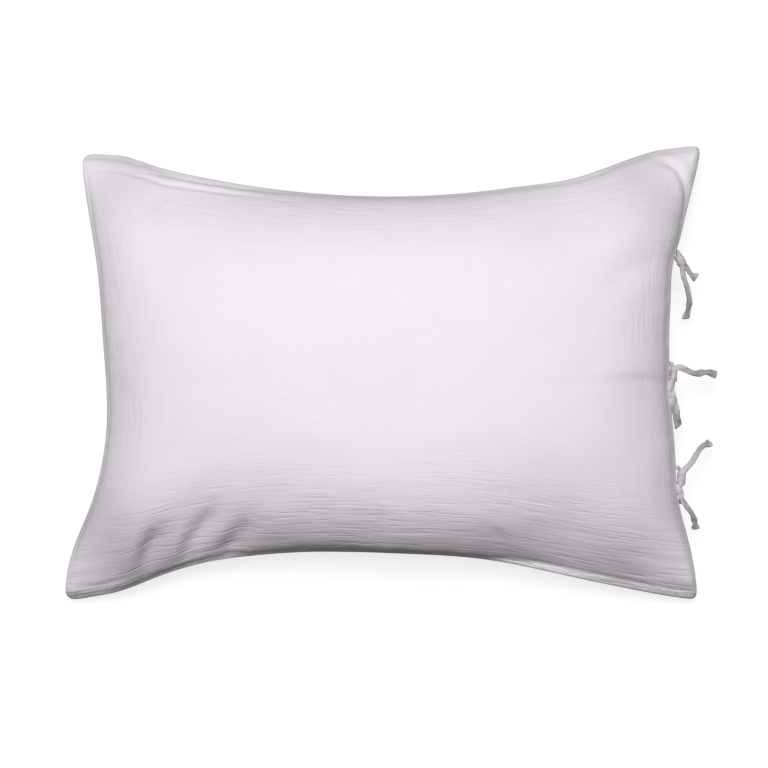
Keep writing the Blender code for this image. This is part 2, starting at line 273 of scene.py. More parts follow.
def case_outline(across, along):
    """Plan position of a share along the case and a share up it, corners rounded."""
    corner = CASE_CORNERS
    x = blend(blend(corner["bottom_left"][0], corner["bottom_right"][0], across),
              blend(corner["top_left"][0], corner["top_right"][0], across), along)
    x = x + blend(drawn_in("left", along), -drawn_in("mouth", along), across)
    y = blend(blend(corner["bottom_left"][1], corner["top_left"][1], along),
              blend(corner["bottom_right"][1], corner["top_right"][1], along), across)
    y = y + blend(drawn_in("bottom", across), -drawn_in("top", across), along)
    pull_x, pull_y = np.zeros_like(x), np.zeros_like(y)
    for corner_x, corner_y, radius, _, _ in CASE_CORNERS.values():
        apart = np.abs(corner_x - x) + np.abs(corner_y - y)
        pull = (1.0 - math.sqrt(0.5)) * radius * np.exp(-CORNER_SHARPNESS * apart / radius)
        pull_x += pull * math.copysign(1.0, corner_x)
        pull_y += pull * math.copysign(1.0, corner_y)
    spread = 1.0 + TIP_SPREAD * ((2.0 * across - 1.0) * (2.0 * along - 1.0)) ** 4
    return (x - pull_x) * spread, (y - pull_y) * spread


def gather_share(a, b):
    """1 along the gathered half of the bottom seam, and 0 elsewhere."""
    return np.clip((a - GATHER_START) / (GATHER_FULL - GATHER_START), 0.0, 1.0) * (b < 0)


def case_fullness(a, b, x, y):
    """Fullness of the filling, 0 on the flat edge strips and 1 in the middle."""
    flange_y = blend(SEAM_FLANGE, GATHER_WIDTH, gather_share(a, b))
    flange_x = np.where(a > 0, MOUTH_FLANGE, SEAM_FLANGE)
    reach_a = np.minimum(1.0, np.abs(a) / (1.0 - flange_x / CASE_HALF[0]))
    reach_b = np.minimum(1.0, np.abs(b) / (1.0 - flange_y / CASE_HALF[1]))
    along = (1.0 - reach_a ** CROWN_POWER) ** (END_STEEPNESS + END_EASING * b * b)
    eased = np.where(b < 0, BOTTOM_EASING, TOP_EASING) * a * a
    across = 1.0 - reach_b ** (CROWN_POWER - CROWN_NARROWING * a * a)
    across = across ** np.minimum(GENTLEST, SIDE_STEEPNESS + eased)
    full = along * across / np.maximum(1e-6, along + across - along * across)
    nearest = np.min([np.hypot(corner[0] - x, corner[1] - y)
                      for corner in CASE_CORNERS.values()], axis=0)
    return full * (1.0 - EAR_FLATNESS * np.exp(-(nearest / EAR_REACH) ** 2))


def seam_height(a, b):
    """Height of the seam, which is lower towards the corners and lowest at their tips."""
    height, droop = np.zeros_like(a), np.zeros_like(a)
    for corner_x, corner_y, _, corner_height, corner_droop in CASE_CORNERS.values():
        here = (a * corner_x >= 0.0) & (b * corner_y >= 0.0)
        height[here], droop[here] = corner_height, corner_droop
    return blend(SEAM_HEIGHT, height, a * a * b * b) - droop * a * a * b ** TIP_FADE


def case_shape(a, b, is_front):
    """Places of the filled case for shares a and b from -1 to 1 on its front or back."""
    x, y = case_outline((a + 1.0) / 2.0, (b + 1.0) / 2.0)
    full = case_fullness(a, b, x, y)
    seam = seam_height(a, b)
    half_edge = blend(SEAM_THICKNESS, MOUTH_THICKNESS, np.maximum(0.0, a) ** HEM_FADE) / 2.0
    flat = 1.0 - (1.0 - np.minimum(1.0, full / CONTACT_SHARE)) ** 2
    from_mouth = np.clip((1.0 - a) * CASE_HALF[0] / MOUTH_FLANGE, 0.0, 1.0)
    slope = np.where(a > 0, MOUTH_SLOPE * MOUTH_FLANGE * from_mouth * (1.0 - full), 0.0)
    side_slope = blend(SEAM_SLOPE, GATHER_SLOPE, gather_share(a, b)) * (1.0 - full)
    slope += side_slope * np.minimum((1.0 - np.abs(b)) * CASE_HALF[1], GATHER_WIDTH)
    z = np.where(is_front, seam + half_edge + FRONT_CROWN * full + slope,
                 (seam - half_edge) * (1.0 - flat))
    return np.stack([x, y, z], axis=1)


def vert_values(mesh, name):
    """One of the mesh's own point attributes as an array."""
    values = np.empty(len(mesh.vertices))
    mesh.attributes[name].data.foreach_get("value", values)
    return values


def vert_places(mesh):
    """The mesh's points as an array."""
    places = np.empty(len(mesh.vertices) * 3)
    mesh.vertices.foreach_get("co", places)
    return places.reshape(-1, 3)


# The cloth as it was sewn: two layers of one grid, with the gap of the mouth pressed in.
case_bm = bmesh.new()
bmesh.ops.create_grid(case_bm, x_segments=CASE_COLUMNS, y_segments=CASE_ROWS, size=1.0)
weft = case_bm.verts.layers.float.new("weft")
warp = case_bm.verts.layers.float.new("warp")
side = case_bm.verts.layers.float.new("side")
raised = bmesh.ops.extrude_face_region(case_bm, geom=case_bm.faces[:])
for vert in case_bm.verts:
    vert[side] = -1.0
for item in raised["geom"]:
    if isinstance(item, bmesh.types.BMVert):
        item[side] = 1.0
mouth_faces = [face for face in case_bm.faces
               if all(vert.co.x > MOUTH_PLANE for vert in face.verts)
               and abs(face.calc_center_median().y) < MOUTH_SHARE]
grid_places = np.array([vert.co[:2] for vert in case_bm.verts])
is_front = np.array([vert[side] > 0 for vert in case_bm.verts])
grid_places = blend(grid_places, np.sin(math.pi / 2.0 * grid_places), CASE_GRID_SPREAD)
shaped = case_shape(grid_places[:, 0], grid_places[:, 1], is_front)
for vert, place, share in zip(case_bm.verts, shaped, grid_places):
    vert[weft], vert[warp] = share
    vert.co = place
bmesh.ops.recalc_face_normals(case_bm, faces=case_bm.faces[:])
bmesh.ops.inset_region(case_bm, faces=mouth_faces, thickness=HEM_THICKNESS, use_even_offset=True)
pressed = bmesh.ops.extrude_face_region(case_bm, geom=mouth_faces)
gap_verts = [item for item in pressed["geom"] if isinstance(item, bmesh.types.BMVert)]
bmesh.ops.delete(case_bm, geom=[face for face in mouth_faces if face.is_valid],
                 context="FACES_ONLY")
bmesh.ops.translate(case_bm, verts=gap_verts, vec=(-MOUTH_DEPTH, 0.0, 0.0))
case_mesh = bpy.data.meshes.new("case_cloth")
case_bm.to_mesh(case_mesh)
case_bm.free()
case = bpy.data.objects.new("case_cloth", case_mesh)
bpy.context.scene.collection.objects.link(case)

# The filling presses the cloth out between its seams, which stay where they are.
CLOTH_FRAMES = 20
CLOTH_PRESSURE = 3.0
CLOTH_EASE = -0.002  # the cloth is this much larger than the shape it covers
CLOTH_CAP = 0.004  # the most that a point may move
HOLD_REACH = 0.03  # share of the half size over which the hold on the edges falls to 0
RESTING_HEIGHT = 0.004  # whatever lies lower than this is held as well


def hold_share(mesh):
    """1 on the seams, hems and resting face, falling to 0 inside."""
    inside = np.minimum(1.0 - np.abs(vert_values(mesh, "weft")),
                        1.0 - np.abs(vert_values(mesh, "warp")))
    low = vert_places(mesh)[:, 2] < RESTING_HEIGHT
    return np.where(low, 1.0, np.clip(1.0 - inside / HOLD_REACH, 0.0, 1.0))


sewn = vert_places(case_mesh)
held = case.vertex_groups.new(name="held")
for index, share in enumerate(hold_share(case_mesh)):
    held.add([index], float(share), "REPLACE")
cloth = case.modifiers.new("filling", "CLOTH")
cloth.settings.quality = 5
cloth.settings.mass = 0.15
cloth.settings.tension_stiffness = 15.0
cloth.settings.compression_stiffness = 15.0
cloth.settings.shear_stiffness = 5.0
cloth.settings.bending_stiffness = 2.0
cloth.settings.vertex_group_mass = "held"
cloth.settings.use_pressure = True
cloth.settings.uniform_pressure_force = CLOTH_PRESSURE
cloth.settings.shrink_min = CLOTH_EASE
cloth.settings.effector_weights.gravity = 0.0
for step in range(1, CLOTH_FRAMES + 1):
    bpy.context.scene.frame_set(step)
filled_case = case.evaluated_get(bpy.context.evaluated_depsgraph_get())
moved = vert_places(filled_case.data) - sewn
case.modifiers.remove(cloth)
bpy.context.scene.frame_set(1)
length = np.linalg.norm(moved, axis=1, keepdims=True) + 1e-9
fullness = case_fullness(vert_values(case_mesh, "weft"), vert_values(case_mesh, "warp"),
                         sewn[:, 0], sewn[:, 1])
moved *= np.clip(2.0 * fullness, 0.0, 1.0)[:, None]
sewn += moved * (CLOTH_CAP * np.tanh(length / CLOTH_CAP) / length)
case_mesh.vertices.foreach_set("co", sewn.ravel())

smoother = case.modifiers.new("smooth", "SUBSURF")
smoother.levels = smoother.render_levels = 1
bpy.context.view_layer.update()
fine_mesh = bpy.data.meshes.new_from_object(
    case.evaluated_get(bpy.context.evaluated_depsgraph_get()))
case.modifiers.remove(smoother)
case.data = fine_mesh
case.vertex_groups.clear()

# The cloth's own folds, listed from corner to corner, and what no two cases share: puckers along
# the seams and a crinkle that runs both ways.

NOISE_CELLS = 256  # cells each way before the noise repeats
NOISE_OFFSET = (1000.37, 1000.61)  # keeps the lines between its cells off the cloth's middle


def cloth_noise(x, y, cell_x, cell_y, seed):
    """Smooth noise from -1 to 1 with cells of that size."""
    grid_x, grid_y = x / cell_x + NOISE_OFFSET[0], y / cell_y + NOISE_OFFSET[1]
    low_x, low_y = np.floor(grid_x).astype(int), np.floor(grid_y).astype(int)
    share_x, share_y = grid_x - low_x, grid_y - low_y
    share_x = share_x * share_x * (3.0 - 2.0 * share_x)
    share_y = share_y * share_y * (3.0 - 2.0 * share_y)
    lattice = np.random.default_rng(seed).uniform(-1.0, 1.0, (NOISE_CELLS, NOISE_CELLS))
    left, right = low_x % NOISE_CELLS, (low_x + 1) % NOISE_CELLS
    lower, upper = low_y % NOISE_CELLS, (low_y + 1) % NOISE_CELLS
    near = blend(lattice[left, lower], lattice[right, lower], share_x)
    far = blend(lattice[left, upper], lattice[right, upper], share_x)
    return blend(near, far, share_y)


# Soft folds on the front: width, depth, less than 0 for a ridge, and the points each runs through.
CASE_FOLDS = [
    (0.0100, 0.0056, (-0.2600, -0.2109), (-0.2505, -0.1880), (-0.2403, -0.1673)),
    (0.0095, 0.0046, (-0.2087, -0.1869), (-0.1930, -0.1650), (-0.1793, -0.1455)),
    (0.0130, 0.0046, (-0.1820, -0.1950), (-0.1597, -0.1820), (-0.1379, -0.1586)),
    (0.0080, -0.0020, (-0.2284, -0.2022), (-0.2109, -0.1608)),
    (0.0080, -0.0016, (-0.1826, -0.1935), (-0.1630, -0.1586)),
    (0.0150, -0.0018, (-0.2872, -0.2153), (-0.2611, -0.1695)),
    (0.0020, 0.0013, (-0.3200, 0.2262), (-0.2850, 0.2229), (-0.2556, 0.2153),
     (-0.2360, 0.2076), (-0.2087, 0.2033), (-0.1684, 0.1967), (-0.1300, 0.1924)),
    (0.0020, 0.0011, (-0.2556, 0.2262), (-0.2196, 0.2153), (-0.1760, 0.2065),
     (-0.1248, 0.1989), (-0.0890, 0.1956)),
    (0.0024, -0.0003, (-0.2700, 0.2230), (-0.2280, 0.2110), (-0.1850, 0.2045),
     (-0.1400, 0.1975)),
    (0.0018, 0.0009, (-0.3000, 0.2290), (-0.2500, 0.2200), (-0.2000, 0.2105),
     (-0.1500, 0.2040), (-0.1000, 0.1990)),
    (0.0170, 0.0024, (-0.2580, 0.1930), (-0.2380, 0.1800)),
    (0.0040, 0.0030, (0.3000, 0.2350), (0.3150, 0.2310), (0.3250, 0.2230), (0.3315, 0.2090),
     (0.3330, 0.1900)),
    (0.0022, 0.0011, (0.3362, 0.2066), (0.3275, 0.1575), (0.3210, 0.1303)),
    (0.0170, 0.0030, (0.2420, 0.0980), (0.3000, 0.1370)),
    (0.0030, 0.0012, (-0.3350, -0.2350), (-0.3100, -0.2330), (-0.2700, -0.2200)),
]
FOLD_SHOULDER = 0.14  # how high a fold's edges stand, as a share of its depth
SEAM_PUCKER = 0.0008
SEAM_PUCKER_REACH = 0.014
SEAM_PUCKER_CELLS = (0.0075, 0.050)  # across and along each pucker
SLACK_RELIEF = 0.0006
CRINKLE_RELIEF = 0.00028
CRINKLE_CELLS = (0.0066, 0.050)
SEAM_LINE = 0.0042  # from the edge to the line where the allowance inside ends
SEAM_LINE_DEPTH = 0.0006
SEAM_LINE_WIDTH = 0.0014
GATHER_RELIEF = 0.0015  # of the gathers along the right half of the bottom seam
GATHER_CELLS = (0.0042, 0.030)
GATHER_LINE_DEPTH = 0.0009  # of the dip where the gathered strip meets the front
GATHER_LINE_WIDTH = 0.0022
RELIEF_FADE = 0.006  # distance from the edge over which the relief sets in
FAR_AWAY = 9.0
WEFT_SLACK = 0.16  # in the middle, and what the top and the bottom edge add to it
WEFT_SLACK_TOP = 0.50
WEFT_SLACK_BOTTOM = 1.04
WEFT_SLACK_REACH = 0.150
WARP_SLACK = 0.06  # in the middle, and what both ends add to it
WARP_SLACK_ENDS = 0.38
WARP_SLACK_REACH = 0.120

u = vert_values(fine_mesh, "weft") * CLOTH_HALF[0]
v = vert_values(fine_mesh, "warp") * CLOTH_HALF[1]
front = np.clip(vert_values(fine_mesh, "side"), 0.0, 1.0)
places = vert_places(fine_mesh)
normals = np.empty(len(fine_mesh.vertices) * 3)
fine_mesh.vertices.foreach_get("normal", normals)
normals = normals.reshape(-1, 3)
from_ends = CLOTH_HALF[0] - np.abs(u)
from_sides = CLOTH_HALF[1] - np.abs(v)
inside = np.clip(np.minimum(from_ends, from_sides) / RELIEF_FADE, 0.0, 1.0)

# The filling holds the cloth taut in the middle, and it hangs slacker towards the seams, most
# of all at the bottom.
weft_slack = np.clip(1.0 - from_sides / WEFT_SLACK_REACH, 0.0, 1.0)
weft_slack = np.where(v > 0, WEFT_SLACK_TOP, WEFT_SLACK_BOTTOM) * weft_slack + WEFT_SLACK
warp_slack = np.clip(1.0 - from_ends / WARP_SLACK_REACH, 0.0, 1.0)
warp_slack = WARP_SLACK + WARP_SLACK_ENDS * warp_slack

relief = SLACK_RELIEF * cloth_noise(u, v, 0.085, 0.055, 15)
relief += 0.5 * SLACK_RELIEF * cloth_noise(u, v, 0.036, 0.030, 16)
relief += (SEAM_PUCKER * cloth_noise(u, v, *SEAM_PUCKER_CELLS, 21)
           * np.exp(-from_sides / SEAM_PUCKER_REACH))
relief += (SEAM_PUCKER * cloth_noise(u, v, *SEAM_PUCKER_CELLS[::-1], 22)
           * np.exp(-from_ends / SEAM_PUCKER_REACH))
relief += CRINKLE_RELIEF * weft_slack * cloth_noise(u, v, *CRINKLE_CELLS[::-1], 31)
relief += CRINKLE_RELIEF * warp_slack * cloth_noise(u, v, *CRINKLE_CELLS, 32)
from_edge = np.minimum(from_sides, np.where(u > 0, FAR_AWAY, from_ends))
relief -= SEAM_LINE_DEPTH * np.exp(-((from_edge - SEAM_LINE) / SEAM_LINE_WIDTH) ** 2)
gathered = gather_share(u / CLOTH_HALF[0], v)
relief += gathered * (GATHER_RELIEF * cloth_noise(u, v, *GATHER_CELLS, 41)
                      * np.exp(-(from_sides / GATHER_WIDTH) ** 4))
from_gather = (from_sides - 1.1 * GATHER_WIDTH) / GATHER_LINE_WIDTH
relief -= gathered * GATHER_LINE_DEPTH * np.exp(-from_gather ** 2)
for width, depth, *run in CASE_FOLDS:
    run = np.array(run)
    lengths = np.linalg.norm(np.diff(run, axis=0), axis=1)
    starts = np.concatenate([[0.0], np.cumsum(lengths)])
    away = np.full(len(places), FAR_AWAY)
    along = np.zeros(len(places))
    for start, end, length, before in zip(run, run[1:], lengths, starts):
        offset = places[:, :2] - start
        share = np.clip(offset @ (end - start) / length ** 2, 0.0, 1.0)
        apart = np.linalg.norm(offset - share[:, None] * (end - start), axis=1)
        nearer = apart < away
        away = np.where(nearer, apart, away)
        along = np.where(nearer, before + share * length, along)
    taper = np.sin(math.pi * (0.06 + 0.88 * along / starts[-1])) ** 0.8
    shoulder = FOLD_SHOULDER * np.exp(-((away - 2.0 * width) / width) ** 2)
    relief -= front * depth * taper * (np.exp(-(away / width) ** 2) - shoulder)
places += normals * (relief * inside)[:, None]
places[:, 2] = np.maximum(places[:, 2], 0.0)
fine_mesh.vertices.foreach_set("co", places.ravel())

# Painted shade: the gauze's colour is darkened in a ring round each of its four corners: corner,
# share, distance from its tip, and reach.
CORNER_SHADE_RINGS = [("top_left", 0.42, 0.050, 0.040), ("top_right", 0.62, 0.070, 0.048),
            ("bottom_left", 0.86, 0.092, 0.050), ("bottom_right", 0.52, 0.095, 0.042)]
painted_corner_shade = np.zeros(len(places))
for name, share, from_tip, reach in CORNER_SHADE_RINGS:
    away = np.hypot(CASE_CORNERS[name][0] - places[:, 0], CASE_CORNERS[name][1] - places[:, 1])
    painted_corner_shade += share * np.exp(-((away - from_tip) / reach) ** 2)
for value_name, values in (("weft_slack", weft_slack), ("warp_slack", warp_slack),
                           ("painted_corner_shade", painted_corner_shade)):
    fine_mesh.attributes.new(value_name, "FLOAT", "POINT").data.foreach_set("value", values)

thread_map = fine_mesh.uv_layers.new(name="Threads")
corner_verts = np.empty(len(fine_mesh.loops), dtype=int)
fine_mesh.loops.foreach_get("vertex_index", corner_verts)
thread_map.data.foreach_set("uv", np.stack([u, v], axis=1)[corner_verts].ravel())
fine_mesh.shade_smooth()
# The third colour is the painted shade round the corners.
case_gauze = gauze_material("case_gauze", (0.87, 0.835, 0.875, 1.0), (0.835, 0.80, 0.84, 1.0),
                            ("weft_slack", "warp_slack"), 0.05, 0.0011,
                            painted_corner_shade=(0.60, 0.57, 0.605, 1.0))
fine_mesh.materials.clear()
fine_mesh.materials.append(case_gauze)
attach(case, "root")
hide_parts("case")

# ---- The ties -------------------------------------------------------------------------------
# Three pairs of narrow strips, cut from the same gauze and folded lengthwise. One of each pair
# is sewn to the front hem and one to the back hem, and each pair is tied in one knot.

TIE_WIDTH = 0.0070
TIE_THICKNESS = 0.0033
TIE_AT_HEM = 0.0042  # the strip is pulled round between its hem and the knot
UNTWIST = 0.014  # length over which it turns flat again beyond the knot
TURN_RADIUS = 0.0022  # from the middle of the knot to the middle of each strip
TURN_PITCH = 0.0080  # length of one turn in the knot
TURN_STEPS = 12
ROOT_SPREAD = 0.0021  # height of each root above or below the seam
ROOT_RUN = 0.0022  # how far each strip leaves its hem straight
OPEN_END_DEPTH = 0.003
RING_SPACING = 0.0010
RING_POINTS = 24
ROOT_EASE = 0.002  # length over which a strip changes as it enters its knot
KNOT_EASE = 0.002  # how far before the knot's end it starts to open out
FREE_RUN = 0.009  # length over which it opens out to its full width
END_RUN = 0.009  # length over which it flares towards its open end
END_FLARE = 0.30
LUMP_REACH = 0.004
CRUMPLE_MARKS = 60  # random marks along a strip
BROAD_CRUMPLE = 0.0075  # distance between the marks of its broad and its fine crumples
FINE_CRUMPLE = 0.0022
# Each groove's angle round the strip, how far it wanders and with which crumple, width and depth.
GROOVES = [(1.15, 0.35, 1, 0.22, 1.0), (2.15, 0.30, 0, 0.20, 0.7), (4.40, -0.35, 0, 0.24, 1.0)]

# "turn_size" is how wide and thick a strip is in its knot. "width" is a free strip's share of
# the full width, and "lumps" are where it is wider or narrower: the distance from its end, and
# by what share.
TIE_PAIRS = {
    "top": {
        "knot": (0.3250, 0.1283, 0.0690), "axis": (0.42, -0.90, -0.10), "turns": 1.0,
        "turn_size": (0.0088, 0.0066),
        "front": {
            "edge": (0.32169, 0.1347, 0.06808), "outward": (0.957, -0.292, 0.0),
            "gap": 0.0002, "forward": True, "way": [],
            "width": 0.82, "lumps": [(0.020, 0.20), (0.004, 0.40)],
            "tail": [(0.3292, 0.1120, 0.0690), (0.3318, 0.1030, 0.0650),
                     (0.3358, 0.0925, 0.0580), (0.3385, 0.0825, 0.0490),
                     (0.3388, 0.0730, 0.0390), (0.3365, 0.0625, 0.0290)]},
        "back": {
            "edge": (0.32169, 0.1347, 0.06808), "outward": (0.957, -0.292, 0.0),
            "gap": 0.0002, "forward": True, "way": [],
            "width": 1.00, "lumps": [(0.010, -0.15)],
            "tail": [(0.3345, 0.1165, 0.0635), (0.3395, 0.1095, 0.0585),
                     (0.3450, 0.1065, 0.0530)]},
    },
    "middle": {
        "knot": (0.3177, -0.0060, 0.0800), "axis": (0.04, 0.99, 0.10), "turns": 1.5,
        "turn_size": (0.0064, 0.0042),
        "front": {
            "edge": (0.31313, 0.0120, 0.07794), "outward": (1.0, 0.026, 0.0),
            "gap": 0.0003, "forward": False, "way": [],
            "width": 1.18, "lumps": [(0.035, 0.12), (0.016, -0.10)],
            "tail": [(0.3156, -0.0110, 0.0850), (0.3148, -0.0175, 0.0855),
                     (0.3165, -0.0245, 0.0845), (0.3193, -0.0345, 0.0805),
                     (0.3220, -0.0455, 0.0730), (0.3250, -0.0560, 0.0615)]},
        "back": {
            "edge": (0.31559, -0.0345, 0.07728), "outward": (0.997, 0.078, 0.0),
            "gap": 0.0003, "forward": True,
            "way": [(0.3170, -0.0265, 0.0742), (0.3167, -0.0185, 0.0750),
                    (0.3173, -0.0115, 0.0763)],
            "width": 0.92, "lumps": [(0.034, 0.22), (0.022, -0.10), (0.009, 0.20)],
            "tail": [(0.3240, 0.0078, 0.0838), (0.3302, 0.0056, 0.0820),
                     (0.3370, 0.0025, 0.0775), (0.3440, 0.0010, 0.0710),
                     (0.3520, 0.0022, 0.0620), (0.3600, 0.0022, 0.0515),
                     (0.3680, 0.0003, 0.0395)]},
    },
    "bottom": {
        "knot": (0.3266, -0.1190, 0.0725), "axis": (0.12, 0.98, 0.05), "turns": 1.5,
        "turn_size": (0.0070, 0.0056),
        "front": {
            "edge": (0.32122, -0.10155, 0.07208), "outward": (0.999, 0.053, 0.0),
            "gap": 0.0002, "forward": False,
            "way": [(0.3242, -0.1022, 0.0718)],
            "width": 0.76, "lumps": [(0.016, 0.50), (0.009, -0.10), (0.003, 0.35)],
            "tail": [(0.3254, -0.1265, 0.0755), (0.3272, -0.1345, 0.0742),
                     (0.3320, -0.1422, 0.0690), (0.3385, -0.1500, 0.0620),
                     (0.3424, -0.1560, 0.0550), (0.3446, -0.1620, 0.0470),
                     (0.3468, -0.1695, 0.0370)]},
        "back": {
            "edge": (0.32495, -0.13976, 0.06659), "outward": (0.981, 0.193, 0.0),
            "gap": 0.0006, "forward": True,
            "way": [(0.3284, -0.1320, 0.0668), (0.3270, -0.1250, 0.0688)],
            "width": 0.92, "lumps": [(0.030, -0.12), (0.004, 0.25)],
            "tail": [(0.3330, -0.1018, 0.0752), (0.3385, -0.0965, 0.0715),
                     (0.3435, -0.0895, 0.0650), (0.3487, -0.0822, 0.0575),
                     (0.3550, -0.0778, 0.0480), (0.3620, -0.0755, 0.0370)]},
    },
}


def smooth_route(points, steps):
    """A smooth curve through the points, with steps samples in each span."""
    ends = [points[0] * 2 - points[1], *points, points[-1] * 2 - points[-2]]
    route = []
    for p0, p1, p2, p3 in zip(ends, ends[1:], ends[2:], ends[3:]):
        for step in range(steps):
            t = step / steps
            route.append(0.5 * (2 * p1 + (p2 - p0) * t + (2 * p0 - 5 * p1 + 4 * p2 - p3) * t ** 2
                                + (3 * p1 - p0 - 3 * p2 + p3) * t ** 3))
    return [*route, points[-1]]


def even_route(points, spacing):
    """The same line with points that far apart, and how far along it each is."""
    lengths = [0.0]
    for start, end in zip(points, points[1:]):
        lengths.append(lengths[-1] + (end - start).length)
    count = max(2, round(lengths[-1] / spacing))
    marks = np.linspace(0.0, lengths[-1], count + 1)
    columns = [np.interp(marks, lengths, [point[axis] for point in points]) for axis in range(3)]
    return [Vector(place) for place in zip(*columns)], marks


def tie_route(pair, strip_name):
    """The middle line of one tie, how far along it each point is, and where its knot is."""
    strip = pair[strip_name]
    sign = 1.0 if strip_name == "front" else -1.0
    axis = Vector(pair["axis"]).normalized()
    side_way = Vector((0.0, 0.0, 1.0))
    side_way = (side_way - axis * side_way.dot(axis)).normalized()
    third = axis.cross(side_way)
    turns = []
    for index in range(round(pair["turns"] * TURN_STEPS) + 1):
        angle = 2.0 * math.pi * index / TURN_STEPS
        offset = (side_way * math.cos(angle) + third * math.sin(angle)) * (TURN_RADIUS * sign)
        turns.append(Vector(pair["knot"]) + axis * (TURN_PITCH * index / TURN_STEPS) + offset)
    if not strip["forward"]:
        turns.reverse()
    edge = Vector(strip["edge"]) + Vector((0.0, 0.0, ROOT_SPREAD * sign))
    outward = Vector(strip["outward"])
    way_in = [edge + outward * strip["gap"], edge + outward * ROOT_RUN]
    way_in += [Vector(point) for point in strip["way"]]
    tail = [Vector(point) for point in strip["tail"]]
    into = smooth_route([*way_in, turns[0], turns[2]], 8)[:-8]
    free = smooth_route([turns[-3], turns[-1], *tail], 10)[10:]
    knot_start = sum((b - a).length for a, b in zip(into, into[1:]))
    knot_end = knot_start + sum((b - a).length for a, b in zip(turns, turns[1:]))
    route, marks = even_route([*into[:-1], *turns[:-1], *free], RING_SPACING)
    return route, marks, knot_start, knot_end


def knot_frames(wides, ways, marks, knot_start, knot_end, axis):
    """The width directions again, laid along the knot's axis in its turns and twisting to and
    from there."""
    last = int(np.searchsorted(marks, knot_end))
    first = int(np.searchsorted(marks, knot_start)) + 1
    laid = (axis - ways[last] * ways[last].dot(axis)).normalized()
    if laid.dot(wides[last]) < 0.0:
        axis, laid = -axis, -laid
    twist = math.atan2(wides[last].cross(laid).dot(ways[last]), wides[last].dot(laid))
    frames = []
    for index, (wide_way, way, mark) in enumerate(zip(wides, ways, marks)):
        if index >= last:
            left_over = max(0.0, 1.0 - (mark - knot_end) / UNTWIST)
            frames.append(Quaternion(way, twist * left_over) @ wide_way)
        else:
            frames.append((axis - way * way.dot(axis)).normalized())
    for index in range(first - 1, -1, -1):
        way = ways[index]
        frames[index] = (frames[index + 1] - way * way.dot(frames[index + 1])).normalized()
    return frames


